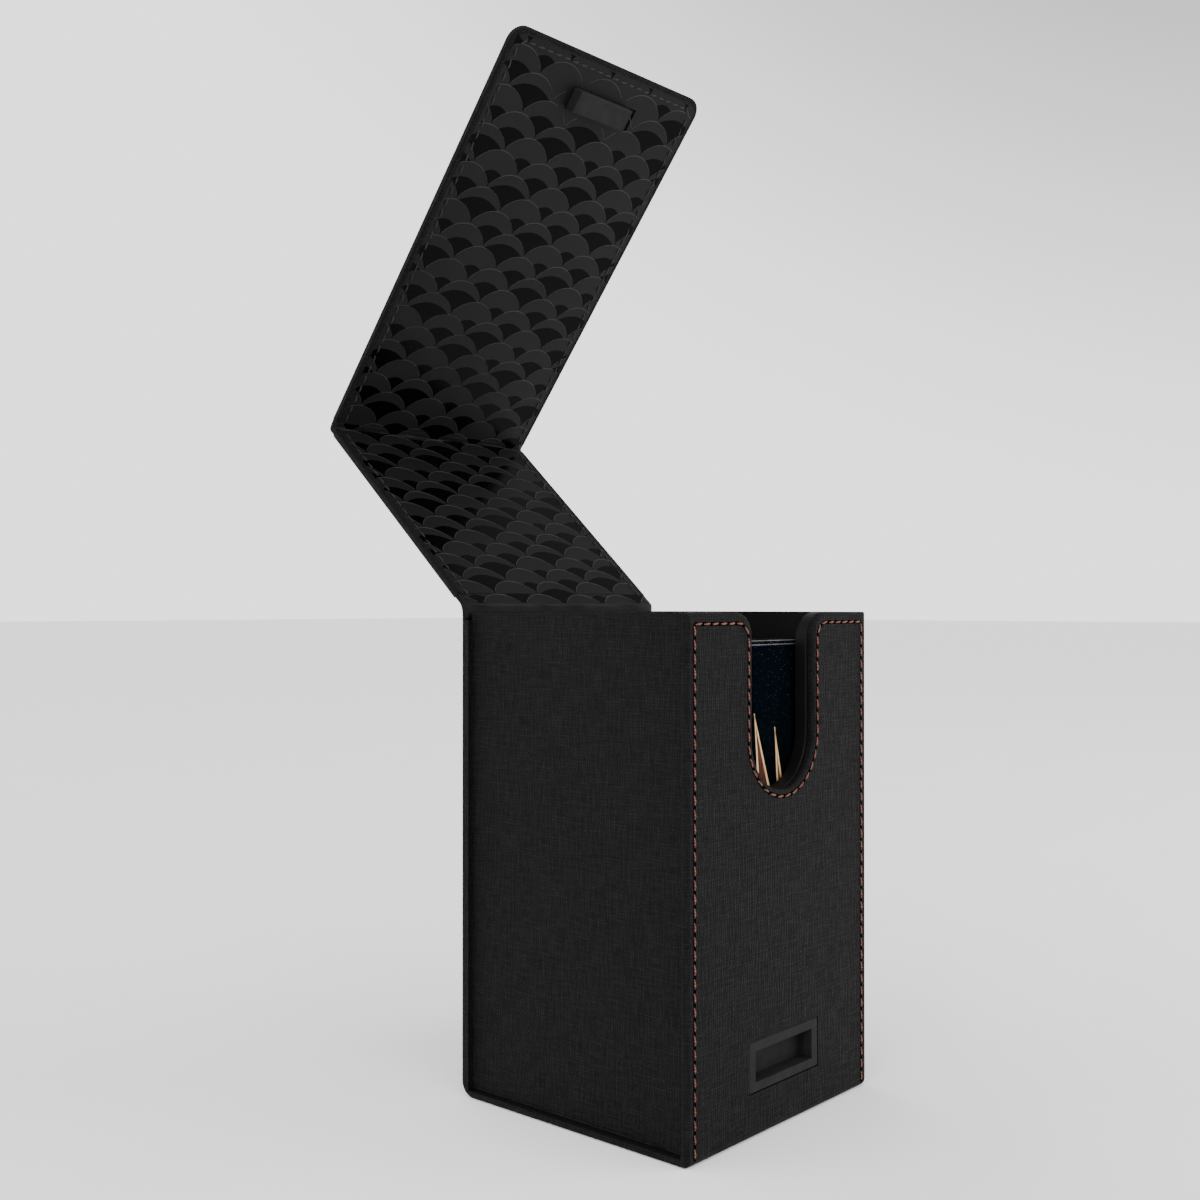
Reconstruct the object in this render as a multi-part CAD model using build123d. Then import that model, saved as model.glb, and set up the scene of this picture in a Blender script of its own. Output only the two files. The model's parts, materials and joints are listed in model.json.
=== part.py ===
from build123d import *
import math
import os

# Tall flip box for a deck of sleeved playing cards, with a covered dice tray under the cards.
# Millimetres. Origin at the centre of the base, +Z up, front (thumb notch) towards -Y.
# The box stands open: lid leaning back, long front flap folded forward from the lid's far edge.

# outer wrap: stiff front, bottom and back panels
WRAP_WIDTH = 81.0
DEPTH = 78.4
HEIGHT = 132.0
FRONT_PANEL = 2.2  # board and cover together
BACK_PANEL = 3.0
BOTTOM_PANEL = 2.0
LIP = 1.4  # how far the wrap stands proud of the side walls
SKIN = 0.6  # leatherette
LINING = 0.5
EDGE_ROUND = 1.2
BACK_EDGE_ROUND = 0.5
FRONT_CORNER = 2.0  # bottom front edge
REAR_CORNER = 4.2  # bottom rear edge
FRONT_SEAM = 3.0  # height where the front cover meets the bottom cover
REAR_SEAM = 4.4
BACK_STEP = 2.2  # the back panel stops this far below the rim, where the soft hinge starts

# tub inside the wrap
SIDE_BOARD = 2.2
END_BOARD = 3.0
FLOOR_BOARD = 2.0
SIDE_COVER_START = 2.6

# thumb notch
NOTCH_HALF = 13.7
NOTCH_LOW = 86.5
NOTCH_CORNER = 6.0
INNER_NOTCH_CORNER = 8.5

# lid, flap and their two soft hinges
COVER_WIDTH = 80.4
COVER_PANEL = 2.4
HINGE_Y = 38.4
HINGE_Z = 133.6
LID_GAP = 0.6  # lid lining above the rim when shut
FOLD_REACH = 79.2  # from the rear hinge line to the fold line
LID_START = 4.2  # the stiff lid panel starts and ends short of the hinge lines
LID_END = 76.8
FLAP_START = 1.8
FLAP_LENGTH = 127.0
FLAP_CORNER = 5.0
TURN_IN = 1.6  # leatherette left showing around the lining
LID_OPEN = 137.6  # degrees from shut to the open stance
FLAP_OPEN = 4.6
BEAD = 0.8  # radius of the rolled fold on each hinge line
STRIP_HALF = 0.4  # half thickness of a soft hinge strip
WEB_HALF = 0.3  # half thickness right beside the rolled fold
STRIP_GAP = 1.5  # the moving strip stays this far from its hinge line

# closure: a plug on the flap enters a socket in the front panel
SOCKET_Z = 17.9
SOCKET_WIDTH = 31.2
SOCKET_HEIGHT = 12.8
SOCKET_DEPTH = 5.2
SOCKET_GAP = 0.2
SOCKET_EDGE = 0.25
RECESS_WIDTH = 25.6
RECESS_HEIGHT = 7.8
RECESS_DEPTH = 4.3
DETENT_HEIGHT = 4.6
DETENT_THICK = 0.8
PLUG_FROM_FOLD = 114.3
PLUG_WIDTH = 21.9
PLUG_HEIGHT = 6.4
PLUG_STAND = 3.2  # above the flap lining
PLUG_EDGE = 0.3
SLOT_LEFT = -11.3  # the lining is cut away further to one side of the plug
SLOT_RIGHT = 15.2
PLATE_THICK = 0.8
PLATE_MARGIN = 2.0
MAGNET_THICK = 1.4
MAGNET_COVER = 1.5  # plastic in front of each socket magnet
PLUG_WALL = 1.2

# stitching
STITCH_PITCH = 3.35
STITCH_LENGTH = 2.9
STITCH_WIDE = 0.75
STITCH_HIGH = 0.28
STITCH_SLANT = 6.0
SIDE_SEAM_INSET = 2.7
TOP_SEAM_INSET = 2.75
NOTCH_SEAM_INSET = 1.95
LINING_SEAM_INSET = 3.4

# dice tray, its cover, and the cards standing on the cover
TRAY_GAP = 0.4
TRAY_HEIGHT = 26.7
TRAY_WALL = 1.6
TRAY_ROUND = 1.5
TRAY_LINER = 0.6
TRAY_LID_BOARD = 1.9
FINGER_NOTCH = 9.0
SLEEVE_WIDTH = 66.0
SLEEVE_HEIGHT = 91.0
SLEEVED_CARD = 0.6
SLEEVE_FILM = 0.1
CARD_MARGIN = 1.3  # sleeve beyond the card inside it
STACK_THICK = 43.2
STACK_GAP = 0.1
CARD_FRONT_GAP = 1.3

# worked out from the driving dimensions
wrap_half = WRAP_WIDTH / 2
depth_half = DEPTH / 2
tub_half = wrap_half - LIP
tub_front = FRONT_PANEL - depth_half
tub_back = depth_half - BACK_PANEL
board_half = tub_half - SKIN
side_inner = board_half - SIDE_BOARD
room_half = side_inner - LINING
end_front = tub_front + END_BOARD
end_back = tub_back - END_BOARD
room_front = end_front + LINING
room_back = end_back - LINING
board_top = HEIGHT - SKIN
floor_top = BOTTOM_PANEL + FLOOR_BOARD
room_floor = floor_top + LINING
back_panel_top = HEIGHT - BACK_STEP
cover_half = COVER_WIDTH / 2
lid_low = HEIGHT + LID_GAP
lid_high = lid_low + COVER_PANEL
fold_y = HINGE_Y - FOLD_REACH
flap_inner = fold_y + (HINGE_Z - lid_low)
flap_outer = flap_inner - COVER_PANEL
flap_high = lid_low - FLAP_START
flap_low = lid_low - FLAP_LENGTH
plug_z = lid_low - PLUG_FROM_FOLD
tray_half = room_half - TRAY_GAP
tray_front = room_front + TRAY_GAP
tray_back = room_back - TRAY_GAP
tray_top = room_floor + TRAY_HEIGHT
shelf = tray_top + TRAY_LID_BOARD + SKIN
card_top = shelf + SLEEVE_HEIGHT
card_front = room_front + CARD_FRONT_GAP
stack_front = card_front + SLEEVED_CARD + STACK_GAP


def slab(x_from, x_to, y_from, y_to, z_from, z_to):
    """A rectangular block between the given coordinates."""
    block = Box(x_to - x_from, y_to - y_from, z_to - z_from)
    return Pos((x_from + x_to) / 2, (y_from + y_to) / 2, (z_from + z_to) / 2) * block


def centred_slab(half, y_from, y_to, z_from, z_to):
    return slab(-half, half, y_from, y_to, z_from, z_to)


def edges_at(shape, axis, place):
    """The edges that lie wholly at one place along an axis."""
    return shape.edges().filter_by_position(axis, place - 0.01, place + 0.01)


def notched_plate(half, y_from, y_to, z_from, z_to, grow, corner):
    """An upright plate with the thumb notch in its top edge, the notch made larger by grow."""
    notch = NOTCH_HALF + grow
    bend_z = NOTCH_LOW + NOTCH_HALF
    outline = Pos(0, (z_from + z_to) / 2) * Rectangle(2 * half, z_to - z_from)
    outline -= Pos(0, bend_z) * Circle(notch)
    outline -= Pos(0, (bend_z + z_to) / 2) * Rectangle(2 * notch, z_to - bend_z)
    tips = [v for v in outline.vertices() if abs(abs(v.X) - notch) < 0.01 and abs(v.Y - z_to) < 0.01]
    outline = fillet(tips, corner)
    return extrude(Plane.XZ.offset(-y_to) * outline, amount=y_to - y_from)


# the wrap: front, bottom and back panels


def socket_hole(y_from, y_to):
    """The opening that the closure's socket is set into."""
    half = SOCKET_WIDTH / 2 + SOCKET_GAP
    reach = SOCKET_HEIGHT / 2 + SOCKET_GAP
    return centred_slab(half, y_from, y_to, SOCKET_Z - reach, SOCKET_Z + reach)


def make_front_board():
    plate = notched_plate(
        wrap_half - SKIN, SKIN - depth_half, tub_front, FRONT_SEAM, board_top, SKIN, NOTCH_CORNER
    )
    return plate - socket_hole(-depth_half, 0)


def make_front_cover():
    plate = notched_plate(wrap_half, -depth_half, tub_front, FRONT_SEAM, HEIGHT, 0, NOTCH_CORNER)
    for face_y, radius in ((-depth_half, EDGE_ROUND), (tub_front, BACK_EDGE_ROUND)):
        rim = [e for e in edges_at(plate, Axis.Y, face_y) if e.center().Z > FRONT_SEAM + 0.1]
        plate = fillet(rim, radius)
    return plate - make_front_board() - socket_hole(-depth_half, 0)


def make_bottom_board():
    front = FRONT_CORNER - depth_half
    return centred_slab(wrap_half - SKIN, front, depth_half - REAR_CORNER, SKIN, BOTTOM_PANEL)


def make_bottom_cover():
    """Leatherette under the box and around its two bottom corners."""
    block = centred_slab(wrap_half, -depth_half, depth_half, 0, REAR_SEAM)
    for end, radius in ((-1, FRONT_CORNER), (1, REAR_CORNER)):
        corner = edges_at(block, Axis.Z, 0).filter_by(Axis.X)
        block = fillet(edges_at(corner, Axis.Y, end * depth_half), radius)
    for side in (-1, 1):
        outline = edges_at(block, Axis.X, side * wrap_half)
        block = fillet([e for e in outline if e.center().Z < REAR_SEAM - 0.05], EDGE_ROUND)
    block -= centred_slab(wrap_half, tub_front, tub_back, BOTTOM_PANEL, REAR_SEAM)
    block -= centred_slab(wrap_half, -depth_half, tub_front, FRONT_SEAM, REAR_SEAM)
    return block - make_bottom_board()


def make_back_board():
    top = back_panel_top - SKIN
    return centred_slab(wrap_half - SKIN, tub_back, depth_half - SKIN, REAR_SEAM, top)


def make_back_cover():
    block = centred_slab(wrap_half, tub_back, depth_half, REAR_SEAM, back_panel_top)
    upright = edges_at(block, Axis.Y, depth_half).filter_by(Axis.Z)
    return fillet(upright, EDGE_ROUND) - make_back_board()


# the tub


def tub_front_plate():
    return notched_plate(
        board_half, tub_front, end_front, BOTTOM_PANEL, board_top, SKIN, INNER_NOTCH_CORNER
    )


def make_tub_front_board():
    return tub_front_plate() - socket_hole(tub_front, end_front)


def make_front_lining():
    """Smooth lining inside the front wall, turned over its top and notch edges."""
    cap = notched_plate(board_half, tub_front, end_front, BOTTOM_PANEL, HEIGHT, 0, INNER_NOTCH_CORNER)
    rim = [e for e in edges_at(cap, Axis.Y, tub_front) if e.center().Z > NOTCH_LOW - 1]
    cap = fillet([e for e in rim if abs(e.center().X) < board_half - 1], BACK_EDGE_ROUND)
    inside = notched_plate(
        side_inner, end_front, room_front, floor_top, HEIGHT, 0, INNER_NOTCH_CORNER
    )
    return cap - tub_front_plate() + inside


def make_tub_back_board():
    return centred_slab(board_half, end_back, tub_back, BOTTOM_PANEL, board_top)


def make_back_lining():
    """Lining inside the back wall, turned over its top edge."""
    cap = centred_slab(board_half, end_back, tub_back, board_top, HEIGHT)
    inside = centred_slab(side_inner, room_back, end_back, floor_top, HEIGHT)
    return cap + inside


def make_side_board(side):
    board = centred_slab(SIDE_BOARD / 2, end_front, end_back, BOTTOM_PANEL, board_top)
    return Pos(side * (side_inner + SIDE_BOARD / 2), 0, 0) * board


def make_left_board():
    return make_side_board(-1)


def make_right_board():
    return make_side_board(1)


def make_left_cover():
    """Leatherette over the left wall and the ends of the end walls, turned over the top edge."""
    sheet = slab(-tub_half, -board_half, tub_front, tub_back, SIDE_COVER_START, HEIGHT)
    sheet = fillet(edges_at(sheet, Axis.Z, HEIGHT).filter_by(Axis.Y).sort_by(Axis.X)[0], SKIN - 0.05)
    return sheet + slab(-board_half, -side_inner, end_front, end_back, board_top, HEIGHT)


def make_right_cover():
    return mirror(make_left_cover(), Plane.YZ)


def make_left_lining():
    return slab(-side_inner, -room_half, room_front, room_back, floor_top, board_top)


def make_right_lining():
    return mirror(make_left_lining(), Plane.YZ)


def make_floor_board():
    return centred_slab(side_inner, end_front, end_back, BOTTOM_PANEL, floor_top)


def make_floor_lining():
    return centred_slab(room_half, room_front, room_back, floor_top, room_floor)


# the closure's socket


def make_socket_magnets():
    """Two bar magnets, one above and one below the recess."""
    bar_half = RECESS_WIDTH / 2 - PLATE_MARGIN
    middle = (RECESS_HEIGHT + SOCKET_HEIGHT) / 4
    front = MAGNET_COVER - depth_half
    bar = centred_slab(bar_half, front, SOCKET_DEPTH - depth_half, -MAGNET_THICK / 2, MAGNET_THICK / 2)
    return Compound(children=[Pos(0, 0, SOCKET_Z + side * middle) * bar for side in (-1, 1)])


def make_socket_housing():
    """A moulded frame flush with the front panel, around a blind rectangular recess."""
    half, reach = SOCKET_WIDTH / 2, SOCKET_HEIGHT / 2
    block = centred_slab(half, -depth_half, SOCKET_DEPTH - depth_half, -reach, reach)
    block = chamfer(edges_at(block, Axis.Y, -depth_half), SOCKET_EDGE)
    half, reach = RECESS_WIDTH / 2, RECESS_HEIGHT / 2
    block -= centred_slab(half, -depth_half, RECESS_DEPTH - depth_half, -reach, reach)
    detent = Pos(0, RECESS_DEPTH / 2 - depth_half, 0) * Box(DETENT_THICK, DETENT_THICK, DETENT_HEIGHT)
    for side in (-1, 1):
        block += Pos(side * half, 0, 0) * detent
    return Pos(0, 0, SOCKET_Z) * block - make_socket_magnets()


# the soft hinges


def make_rear_hinge_strip():
    """Soft leatherette strip above the back panel, rolled into a bead on the rear hinge line."""
    back, front = HINGE_Y + STRIP_HALF, HINGE_Y - STRIP_HALF
    strip = centred_slab(cover_half, front, back, back_panel_top, HINGE_Z - STRIP_GAP)
    web = centred_slab(cover_half, HINGE_Y - WEB_HALF, HINGE_Y + WEB_HALF, HINGE_Z - STRIP_GAP, HINGE_Z)
    bead = Pos(0, HINGE_Y, HINGE_Z) * Rot(0, 90, 0) * Cylinder(BEAD, COVER_WIDTH)
    return strip + web + bead


def make_fold_hinge_strip():
    """Soft strip at the lid's far edge, rolled into a bead on the fold line."""
    near = fold_y + STRIP_GAP
    strip = centred_slab(cover_half, near, lid_y(LID_END), HINGE_Z - STRIP_HALF, HINGE_Z + STRIP_HALF)
    web = centred_slab(cover_half, fold_y, near, HINGE_Z - WEB_HALF, HINGE_Z + WEB_HALF)
    bead = Pos(0, fold_y, HINGE_Z) * Rot(0, 90, 0) * Cylinder(BEAD, COVER_WIDTH)
    return strip + web + bead


# the lid, drawn shut


def lid_y(reach):
    """The y of a point this far along the shut lid from the rear hinge line."""
    return HINGE_Y - reach


def make_lid_board():
    far, near = lid_y(LID_END - SKIN), lid_y(LID_START + SKIN)
    return centred_slab(cover_half - SKIN, far, near, lid_low + LINING, lid_high - SKIN)


def make_lid_lining():
    return centred_slab(cover_half - TURN_IN, lid_y(LID_END), lid_y(LID_START), lid_low, lid_low + LINING)


def make_lid_cover():
    """Leatherette over the lid's outside, turned in around the lining, with its soft hinge strip."""
    block = centred_slab(cover_half, lid_y(LID_END), lid_y(LID_START), lid_low, lid_high)
    block = fillet(edges_at(block, Axis.Z, lid_high), EDGE_ROUND)
    block = fillet(edges_at(block, Axis.Z, lid_low).filter_by(Axis.Y), BACK_EDGE_ROUND)
    near, far = lid_y(STRIP_GAP), lid_y(LID_START)
    strip = centred_slab(cover_half, far, near, HINGE_Z - STRIP_HALF, HINGE_Z + STRIP_HALF)
    return block - make_lid_board() - make_lid_lining() + strip


# the flap, drawn hanging in front of the shut box


def flap_plate(inset, y_from, y_to, z_top):
    """A plate of the flap's outline, drawn in by inset, with its two free corners rounded."""
    plate = centred_slab(cover_half - inset, y_from, y_to, flap_low + inset, z_top)
    corners = edges_at(plate, Axis.Z, flap_low + inset).filter_by(Axis.Y)
    return fillet(corners, FLAP_CORNER - inset)


def make_catch_plate():
    """The closure's backing plate, set into the flap board behind the lining."""
    back = flap_inner - LINING - PLATE_THICK
    reach = PLUG_HEIGHT / 2 + PLATE_MARGIN
    left, right = SLOT_LEFT - PLATE_MARGIN, SLOT_RIGHT + PLATE_MARGIN
    return slab(left, right, back, flap_inner - LINING, plug_z - reach, plug_z + reach)


def make_catch_magnet():
    half, reach = PLUG_WIDTH / 2 - PLUG_WALL, PLUG_HEIGHT / 2 - PLUG_WALL
    tip = flap_inner + PLUG_STAND - PLUG_WALL
    return centred_slab(half, flap_inner - LINING, tip, plug_z - reach, plug_z + reach)


def make_catch_plug():
    """Hollow moulded plug that stands out of the lining and enters the socket."""
    half, reach = PLUG_WIDTH / 2, PLUG_HEIGHT / 2
    tip = flap_inner + PLUG_STAND
    block = centred_slab(half, flap_inner - LINING, tip, plug_z - reach, plug_z + reach)
    block = chamfer(edges_at(block, Axis.Y, tip), PLUG_EDGE)
    detent = Pos(0, tip - PLUG_STAND / 2, plug_z) * Box(DETENT_THICK / 2, DETENT_THICK, DETENT_HEIGHT)
    for side in (-1, 1):
        block += Pos(side * half, 0, 0) * detent
    return block - make_catch_magnet()


def make_flap_board():
    board = flap_plate(SKIN, flap_outer + SKIN, flap_inner - LINING, flap_high - SKIN)
    return board - make_catch_plate()


def make_flap_lining():
    reach = PLUG_HEIGHT / 2 + SOCKET_GAP
    slot = slab(SLOT_LEFT, SLOT_RIGHT, flap_inner - LINING, flap_inner, plug_z - reach, plug_z + reach)
    return flap_plate(TURN_IN, flap_inner - LINING, flap_inner, flap_high) - slot


def make_flap_cover():
    """Leatherette over the flap's outside, turned in around the lining, with its soft hinge strip."""
    block = flap_plate(0, flap_outer, flap_inner, flap_high)
    block = fillet(edges_at(block, Axis.Y, flap_outer), EDGE_ROUND)
    free_edge = [e for e in edges_at(block, Axis.Y, flap_inner) if e.center().Z < flap_high - 0.01]
    block = fillet(free_edge, BACK_EDGE_ROUND)
    block -= flap_plate(SKIN, flap_outer + SKIN, flap_inner - LINING, flap_high - SKIN)
    block -= flap_plate(TURN_IN, flap_inner - LINING, flap_inner, flap_high)
    high = HINGE_Z - STRIP_GAP
    return block + centred_slab(cover_half, fold_y - STRIP_HALF, fold_y + STRIP_HALF, flap_high, high)


# stitching: short round-ended bars lying on a surface


def stitch_bar():
    """One stitch, lying along X with its flat side at z = 0."""
    bar = extrude(SlotOverall(STITCH_LENGTH, STITCH_WIDE), amount=STITCH_HIGH)
    return fillet(edges_at(bar, Axis.Z, STITCH_HIGH), STITCH_HIGH / 2)


def straight_seam(start, end):
    """Place and heading of each stitch along a straight seam drawn flat."""
    count = round(math.dist(start, end) / STITCH_PITCH)
    across, along = end[0] - start[0], end[1] - start[1]
    heading = math.degrees(math.atan2(along, across)) + STITCH_SLANT
    steps = [(number + 0.5) / count for number in range(count)]
    return [(start[0] + step * across, start[1] + step * along, heading) for step in steps]


def curved_seam(centre, radius, from_angle, to_angle):
    """Place and heading of each stitch along an arc drawn flat, angles in degrees."""
    turn = to_angle - from_angle
    count = max(1, round(math.radians(abs(turn)) * radius / STITCH_PITCH))
    places = []
    for number in range(count):
        angle = from_angle + (number + 0.5) / count * turn
        x = centre[0] + radius * math.cos(math.radians(angle))
        z = centre[1] + radius * math.sin(math.radians(angle))
        places.append((x, z, angle + math.copysign(90, turn) + STITCH_SLANT))
    return places


def sew(places, surface):
    """Lay a stitch at each place of a seam drawn on the given surface plane."""
    bar = stitch_bar()
    return Compound(children=[surface * Pos(x, z, 0) * Rot(0, 0, turn) * bar for x, z, turn in places])


def make_front_stitching():
    edge = wrap_half - SIDE_SEAM_INSET
    foot = FRONT_CORNER + 0.6
    top = HEIGHT - TOP_SEAM_INSET
    inner = NOTCH_HALF + NOTCH_SEAM_INSET
    bend = NOTCH_CORNER - NOTCH_SEAM_INSET + 0.4
    middle = NOTCH_LOW + NOTCH_HALF
    places = straight_seam((-edge, foot), (-edge, top))
    places += straight_seam((-edge, top), (-inner - bend, top))
    places += curved_seam((-inner - bend, top - bend), bend, 90, 0)
    places += straight_seam((-inner, top - bend), (-inner, middle))
    places += curved_seam((0, middle), inner, 180, 360)
    places += straight_seam((inner, middle), (inner, top - bend))
    places += curved_seam((inner + bend, top - bend), bend, 180, 90)
    places += straight_seam((inner + bend, top), (edge, top))
    places += straight_seam((edge, top), (edge, foot))
    return sew(places, Plane.XZ.offset(depth_half))


def make_lid_stitching():
    """Two rows on the lid's lining, from the rear hinge to the fold."""
    edge = cover_half - LINING_SEAM_INSET
    places = []
    for side in (-1, 1):
        places += straight_seam((side * edge, -lid_y(LID_START + 1)), (side * edge, -lid_y(LID_END - 1)))
    surface = Plane(origin=(0, 0, lid_low), x_dir=(1, 0, 0), z_dir=(0, 0, -1))
    return sew(places, surface)


def make_flap_stitching():
    """One row around the three free sides of the flap's lining."""
    edge = cover_half - LINING_SEAM_INSET
    low = flap_low + LINING_SEAM_INSET
    top = flap_high - 1
    bend = FLAP_CORNER - 2
    places = straight_seam((edge, top), (edge, low + bend))
    places += curved_seam((edge - bend, low + bend), bend, 0, -90)
    places += straight_seam((edge - bend, low), (bend - edge, low))
    places += curved_seam((bend - edge, low + bend), bend, -90, -180)
    places += straight_seam((-edge, low + bend), (-edge, top))
    surface = Plane(origin=(0, flap_inner, 0), x_dir=(-1, 0, 0), z_dir=(0, 1, 0))
    return sew(places, surface)


# dice tray and cards


def tray_outline(z_from, z_to):
    block = centred_slab(tray_half, tray_front, tray_back, z_from, z_to)
    return fillet(block.edges().filter_by(Axis.Z), TRAY_ROUND)


def tray_room(z_to):
    """The tray's inside, from its floor up to the given height."""
    half, front, back = tray_half - TRAY_WALL, tray_front + TRAY_WALL, tray_back - TRAY_WALL
    return centred_slab(half, front, back, room_floor + TRAY_WALL, z_to)


def make_tray_body():
    return tray_outline(room_floor, tray_top) - tray_room(tray_top)


def make_tray_liner():
    return tray_room(room_floor + TRAY_WALL + TRAY_LINER)


def tray_lid_layer(z_from, z_to):
    """A layer of the tray's loose cover, with a finger notch in its rear edge."""
    finger = Pos(0, tray_back, (z_from + z_to) / 2) * Cylinder(FINGER_NOTCH, z_to - z_from)
    return tray_outline(z_from, z_to) - finger


def make_tray_lid_board():
    return tray_lid_layer(tray_top, tray_top + TRAY_LID_BOARD)


def make_tray_lid_cover():
    return tray_lid_layer(tray_top + TRAY_LID_BOARD, shelf)


def make_card_stack():
    """The sleeved cards behind the front one, pressed together into one block."""
    return centred_slab(SLEEVE_WIDTH / 2, stack_front, stack_front + STACK_THICK, shelf, card_top)


def sleeve_room(z_to):
    half = SLEEVE_WIDTH / 2 - CARD_MARGIN
    front, back = card_front + SLEEVE_FILM, card_front + SLEEVED_CARD - SLEEVE_FILM
    return centred_slab(half, front, back, shelf + CARD_MARGIN, z_to)


def make_front_card():
    return sleeve_room(card_top - CARD_MARGIN)


def make_front_sleeve():
    """Clear sleeve, closed at the sides and bottom and open along its top."""
    back = card_front + SLEEVED_CARD
    return centred_slab(SLEEVE_WIDTH / 2, card_front, back, shelf, card_top) - sleeve_room(card_top)


def open_lid(shape):
    return shape.rotate(Axis((0, HINGE_Y, HINGE_Z), (1, 0, 0)), -LID_OPEN)


def open_flap(shape):
    return open_lid(shape.rotate(Axis((0, fold_y, HINGE_Z), (1, 0, 0)), -FLAP_OPEN))


STANDING = {
    "front_board": make_front_board,
    "front_cover": make_front_cover,
    "front_stitching": make_front_stitching,
    "bottom_board": make_bottom_board,
    "bottom_cover": make_bottom_cover,
    "back_board": make_back_board,
    "back_cover": make_back_cover,
    "tub_front_board": make_tub_front_board,
    "tub_back_board": make_tub_back_board,
    "tub_left_board": make_left_board,
    "tub_right_board": make_right_board,
    "tub_floor_board": make_floor_board,
    "left_side_cover": make_left_cover,
    "right_side_cover": make_right_cover,
    "front_lining": make_front_lining,
    "back_lining": make_back_lining,
    "left_lining": make_left_lining,
    "right_lining": make_right_lining,
    "floor_lining": make_floor_lining,
    "socket_housing": make_socket_housing,
    "socket_magnets": make_socket_magnets,
    "rear_hinge_strip": make_rear_hinge_strip,
    "tray_body": make_tray_body,
    "tray_liner": make_tray_liner,
    "tray_lid_board": make_tray_lid_board,
    "tray_lid_cover": make_tray_lid_cover,
    "card_stack": make_card_stack,
    "front_card": make_front_card,
    "front_sleeve": make_front_sleeve,
}

ON_LID = {
    "lid_board": make_lid_board,
    "lid_cover": make_lid_cover,
    "lid_lining": make_lid_lining,
    "lid_stitching": make_lid_stitching,
    "fold_hinge_strip": make_fold_hinge_strip,
}

ON_FLAP = {
    "flap_board": make_flap_board,
    "flap_cover": make_flap_cover,
    "flap_lining": make_flap_lining,
    "flap_stitching": make_flap_stitching,
    "catch_plate": make_catch_plate,
    "catch_plug": make_catch_plug,
    "catch_magnet": make_catch_magnet,
}

nodes = {name: make() for name, make in STANDING.items()}
nodes |= {name: open_lid(make()) for name, make in ON_LID.items()}
nodes |= {name: open_flap(make()) for name, make in ON_FLAP.items()}

os.makedirs("parts", exist_ok=True)
for name, shape in nodes.items():
    export_step(shape, f"parts/{name}.step")
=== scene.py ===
import json
import math
import random

import bmesh
import bpy
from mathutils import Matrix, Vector


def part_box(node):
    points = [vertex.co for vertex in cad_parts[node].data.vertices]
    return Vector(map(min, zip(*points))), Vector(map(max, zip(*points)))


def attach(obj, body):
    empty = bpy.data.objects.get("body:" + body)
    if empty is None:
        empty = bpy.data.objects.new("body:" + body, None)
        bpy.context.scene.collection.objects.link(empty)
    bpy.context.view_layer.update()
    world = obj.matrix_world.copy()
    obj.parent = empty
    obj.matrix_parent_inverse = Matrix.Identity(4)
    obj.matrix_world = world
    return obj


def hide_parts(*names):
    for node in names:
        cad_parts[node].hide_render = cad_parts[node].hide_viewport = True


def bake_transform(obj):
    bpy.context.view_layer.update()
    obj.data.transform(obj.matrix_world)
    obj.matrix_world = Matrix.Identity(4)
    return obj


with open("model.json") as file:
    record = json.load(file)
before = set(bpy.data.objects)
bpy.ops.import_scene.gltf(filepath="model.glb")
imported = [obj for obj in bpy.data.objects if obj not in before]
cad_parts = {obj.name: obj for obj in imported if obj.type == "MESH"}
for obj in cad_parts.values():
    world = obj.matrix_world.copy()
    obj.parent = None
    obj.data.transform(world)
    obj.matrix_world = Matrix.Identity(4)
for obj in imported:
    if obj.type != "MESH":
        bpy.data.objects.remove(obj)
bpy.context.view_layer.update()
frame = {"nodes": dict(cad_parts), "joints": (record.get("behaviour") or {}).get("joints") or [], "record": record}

# A tall leatherette card box standing open.

MM = 0.001
HINGE_RANGE, FOLD_RANGE = (joint["range_deg"] for joint in frame["joints"][:2])
HINGE, FOLD = (Vector(joint["pos_m"]) / MM for joint in frame["joints"][:2])
LID_TILT = math.radians(180 + HINGE_RANGE[0])
FLAP_TILT = LID_TILT + math.pi / 2 + math.radians(FOLD_RANGE[0])
LINING_DEPTH = 1.0  # from the line through the hinges to the face of the lining


def box_mm(node):
    low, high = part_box(node)
    return low / MM, high / MM


def vertices_mm(node):
    return [v.co / MM for v in frame["nodes"][node].data.vertices]


front_low, front_high = box_mm("front_cover")
back_high = box_mm("back_cover")[1]
deck_low, deck_high = box_mm("card_stack")
card_low = box_mm("front_card")[0]
sleeve_low, sleeve_high = box_mm("front_sleeve")
plug_low, plug_high = box_mm("catch_plug")
lid_half = box_mm("lid_cover")[1].x
HALF = front_high.x
TOP = front_high.z
FACE = front_low.y
NOTCH_HALF = 13.7
NOTCH_LOW = 86.5
UP = Vector((0, 0, 1))


class Panel:
    """A flat stretch of the lid or flap.

    s runs along it from its hinge, and off is the depth below the face of its lining.
    """

    def __init__(self, start, tilt):
        self.start = Vector((0, start.y, start.z))
        self.along = Vector((0, math.cos(tilt), math.sin(tilt)))
        self.inward = Vector((0, -math.sin(tilt), math.cos(tilt)))

    def at(self, s, off=0.0):
        return self.start + self.along * s + self.inward * (LINING_DEPTH - off)

    def reach(self, point):
        """How far along the panel a point lies."""
        return self.along.dot(point - self.start)


LID = Panel(HINGE, LID_TILT)
FLAP = Panel(FOLD, FLAP_TILT)
LID_REACH = (FOLD - HINGE).length
FLAP_END = max(FLAP.reach(point) for point in vertices_mm("flap_cover"))


# ---------------------------------------------------------------- materials


def grey(value, blue=1.0):
    return value, value, value * blue


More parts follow.
